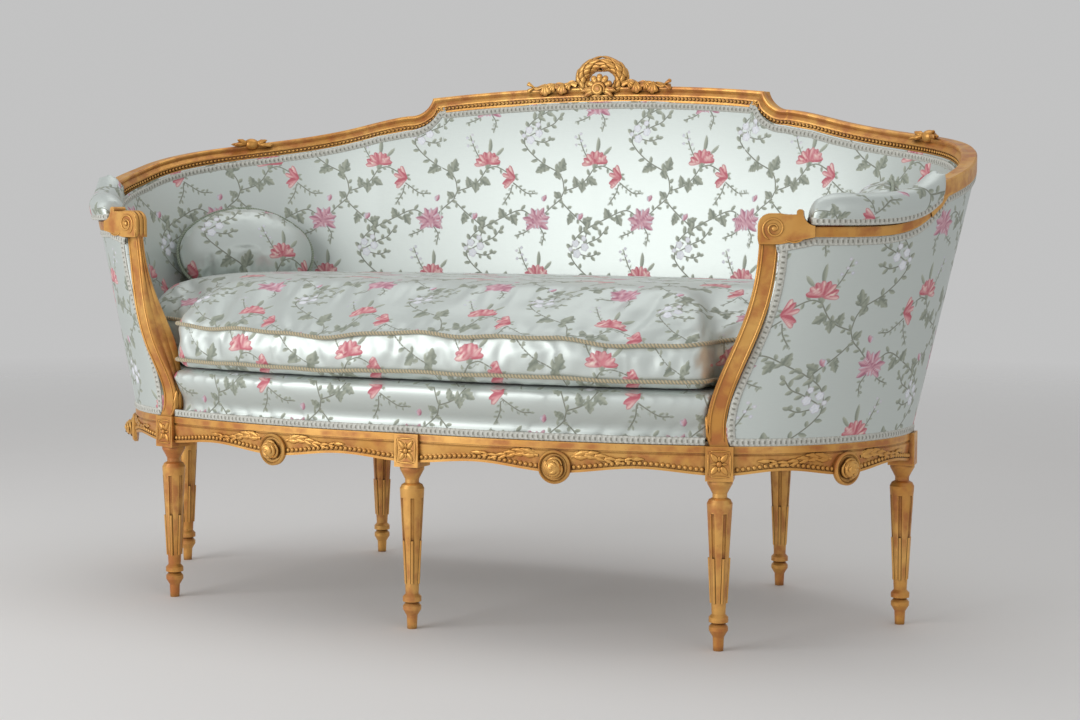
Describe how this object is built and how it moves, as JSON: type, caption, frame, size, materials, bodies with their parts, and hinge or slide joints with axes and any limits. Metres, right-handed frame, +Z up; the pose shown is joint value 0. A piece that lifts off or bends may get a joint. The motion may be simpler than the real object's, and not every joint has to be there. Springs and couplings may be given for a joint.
{
  "type": "gustavian sofa",
  "caption": "Basket-shaped gilded sofa on turned fluted legs, with a carved stepped crest, padded arms, floral silk upholstery, a loose seat cushion and loose pillows.",
  "frame": {"origin": "on the floor, at the middle of the sofa's width and depth", "axes": "+X to the right as seen from the front, +Y towards the back, +Z up"},
  "size_m": [1.638, 0.8141, 0.9754],
  "materials": {
    "giltwood": "water-gilt over red bole, worn satin",
    "beech": "plain sawn",
    "silk": "pale green floral silk satin",
    "hessian": "plain jute",
    "webbing": "woven jute strap",
    "dust_cloth": "plain cotton",
    "steel": "plain"
  },
  "bodies": {
    "frame": {"arm_hessian_left": "hessian", "arm_hessian_right": "hessian", "arm_pad_left": "silk", "arm_pad_right": "silk", "arm_post_left": "giltwood", "arm_post_right": "giltwood", "arm_rail_left": "giltwood", "arm_rail_right": "giltwood", "back_hessian": "hessian", "back_rail": "giltwood", "back_stile_left": "beech", "back_stile_right": "beech", "corner_block_screws": "steel", "corner_blocks": "beech", "corner_rail_left": "giltwood", "corner_rail_right": "giltwood", "crest_bud_left": "giltwood", "crest_bud_right": "giltwood", "crest_rail_centre": "giltwood", "crest_rail_left": "giltwood", "crest_rail_right": "giltwood", "crest_wreath": "giltwood", "dust_cover": "dust_cloth", "frame_dowels": "beech", "front_rail_left": "giltwood", "front_rail_right": "giltwood", "inside_arm_pad_left": "silk", "inside_arm_pad_right": "silk", "inside_back_pad": "silk", "leg_back_left": "giltwood", "leg_back_right": "giltwood", "leg_front_centre": "giltwood", "leg_front_left": "giltwood", "leg_front_right": "giltwood", "leg_side_left": "giltwood", "leg_side_right": "giltwood", "medallion_front_left": "giltwood", "medallion_front_right": "giltwood", "medallion_side_left": "giltwood", "medallion_side_right": "giltwood", "outside_arm_cover_left": "silk", "outside_arm_cover_right": "silk", "outside_back_cover": "silk", "seat_cross_rail": "beech", "seat_hessian": "hessian", "seat_platform": "silk", "seat_webbing": "webbing", "side_rail_left": "giltwood", "side_rail_right": "giltwood", "side_stile_left": "beech", "side_stile_right": "beech", "wreath_ribbon_left": "giltwood", "wreath_ribbon_right": "giltwood"},
    "cushion": {"seat_cushion": "silk"},
    "pillow_l": {"pillow_left": "silk"},
    "pillow_r": {"pillow_right": "silk"}
  },
  "joints": [
    {"name": "cushion_lift", "type": "slide", "parent": "frame", "child": "cushion", "axis": [0, 0, 1], "range_m": [0, 0.6]},
    {"name": "pillow_left_lift", "type": "slide", "parent": "cushion", "child": "pillow_l", "axis": [0, 0, 1], "range_m": [0, 0.45]},
    {"name": "pillow_right_lift", "type": "slide", "parent": "cushion", "child": "pillow_r", "axis": [0, 0, 1], "range_m": [0, 0.45]}
  ]
}
